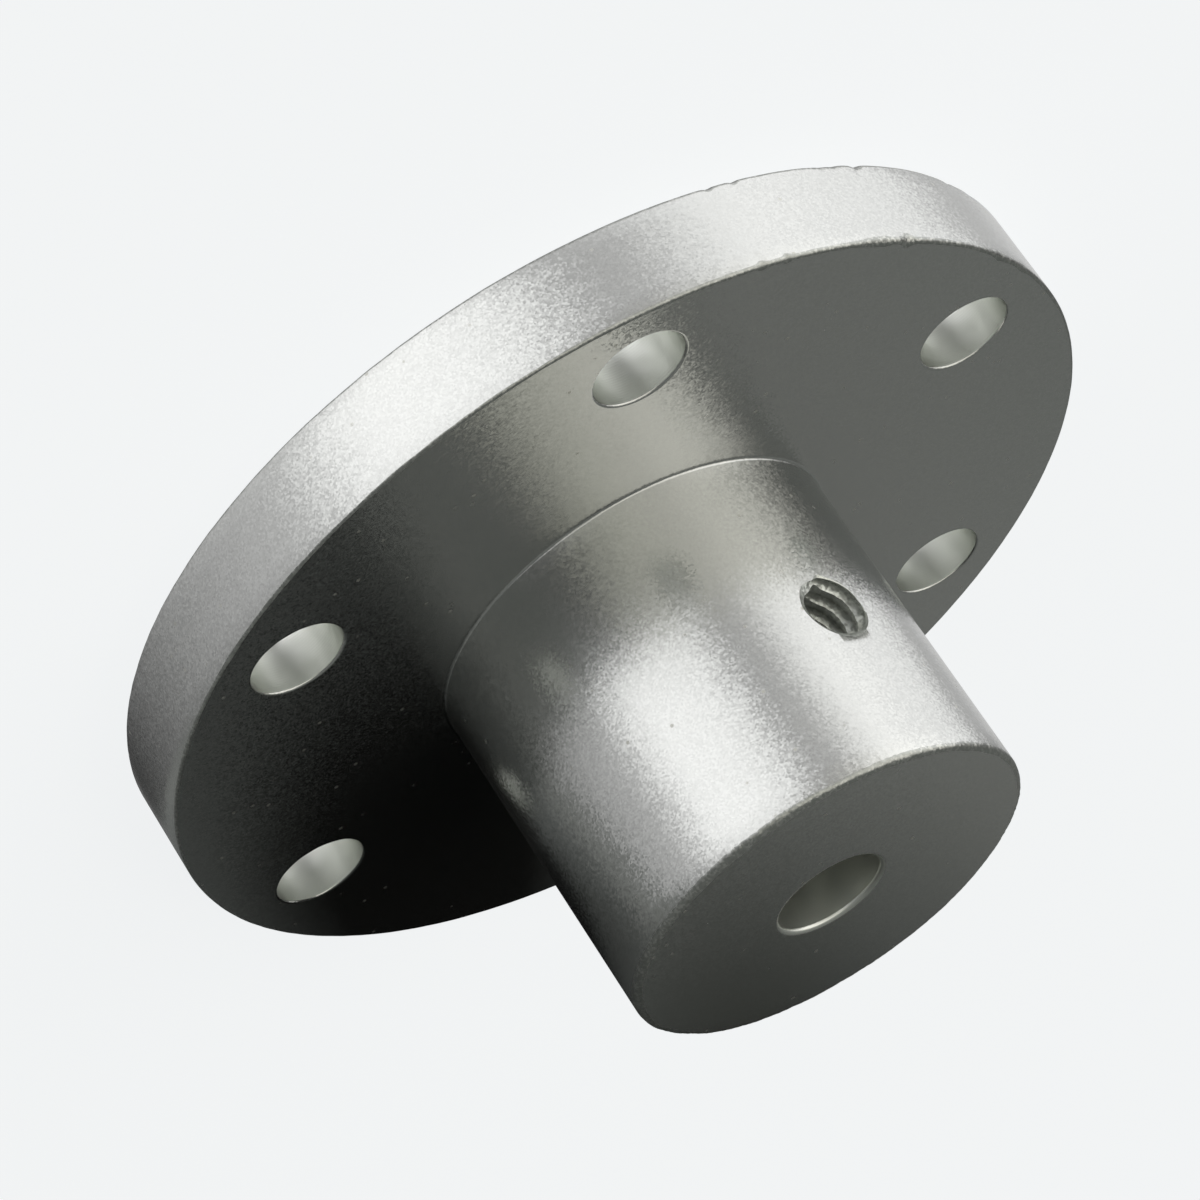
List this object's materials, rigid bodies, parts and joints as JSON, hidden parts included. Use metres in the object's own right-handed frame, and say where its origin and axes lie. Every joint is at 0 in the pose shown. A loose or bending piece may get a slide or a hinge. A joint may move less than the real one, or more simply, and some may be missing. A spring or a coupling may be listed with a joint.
{
  "type": "mounting hub",
  "caption": "One-piece round flanged hub with a central shaft bore, a ring of plain screw holes in the flange and a tapped set-screw hole through the boss wall.",
  "frame": {"origin": "centre of the shaft bore on the flange's flat back face", "axes": "+Z along the bore towards the boss's nose, +X out through the set-screw hole"},
  "size_m": [0.045, 0.045, 0.0207],
  "materials": {
    "hub": "fine bead-blasted and clear anodised, satin grey"
  },
  "bodies": {
    "root": {"mounting_hub": "hub"}
  },
  "joints": []
}
